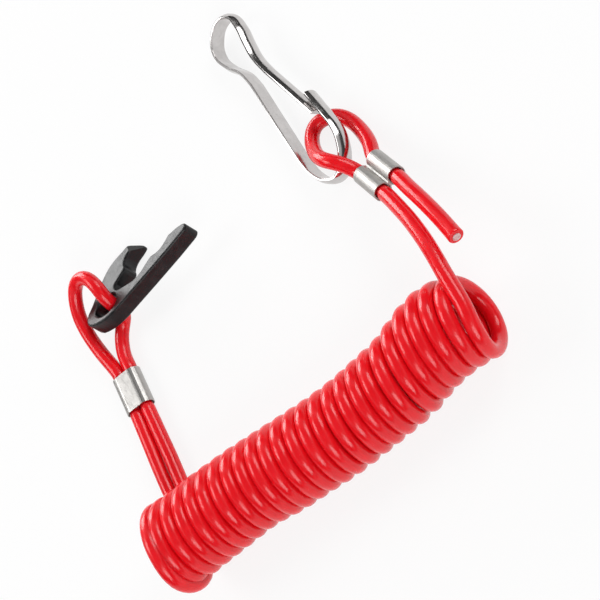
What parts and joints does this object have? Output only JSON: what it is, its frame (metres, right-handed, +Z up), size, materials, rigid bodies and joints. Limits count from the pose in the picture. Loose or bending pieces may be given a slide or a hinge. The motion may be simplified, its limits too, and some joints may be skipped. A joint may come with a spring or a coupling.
{
  "type": "kill switch lanyard",
  "caption": "Coiled red cord lying at rest, with a black fork-shaped kill switch key looped on one end and a bent-strip snap hook looped on the other, both held by crimped sleeves.",
  "frame": {"origin": "on the floor, under the middle of the box round the key, the hook and both sleeves", "axes": "+X along the coil from the key's end to the hook's end, +Y from the coil toward the key and the hook, +Z up"},
  "size_m": [0.129, 0.1522, 0.0278],
  "materials": {
    "red_cord": "glossy, translucent red",
    "satin_sleeve": "satin",
    "black_plastic": "satin moulded",
    "plated_steel": "bright plated"
  },
  "bodies": {
    "cord": {"coiled_cord": "red_cord", "hook_end_cord": "red_cord", "key_end_cord": "red_cord", "key_sleeve": "satin_sleeve", "hook_sleeve": "satin_sleeve"},
    "key": {"kill_key": "black_plastic"},
    "hook": {"snap_hook": "plated_steel"}
  },
  "joints": [
    {"name": "key_swing", "type": "hinge", "parent": "cord", "child": "key", "pos_m": [-0.04395, -0.0129, 0.008], "axis": [0, 0, 1], "range_deg": [-50, 28]},
    {"name": "hook_swing", "type": "hinge", "parent": "cord", "child": "hook", "pos_m": [0.04105, -0.0239, 0.006], "axis": [0, 0, 1], "range_deg": [-6, 16]}
  ]
}
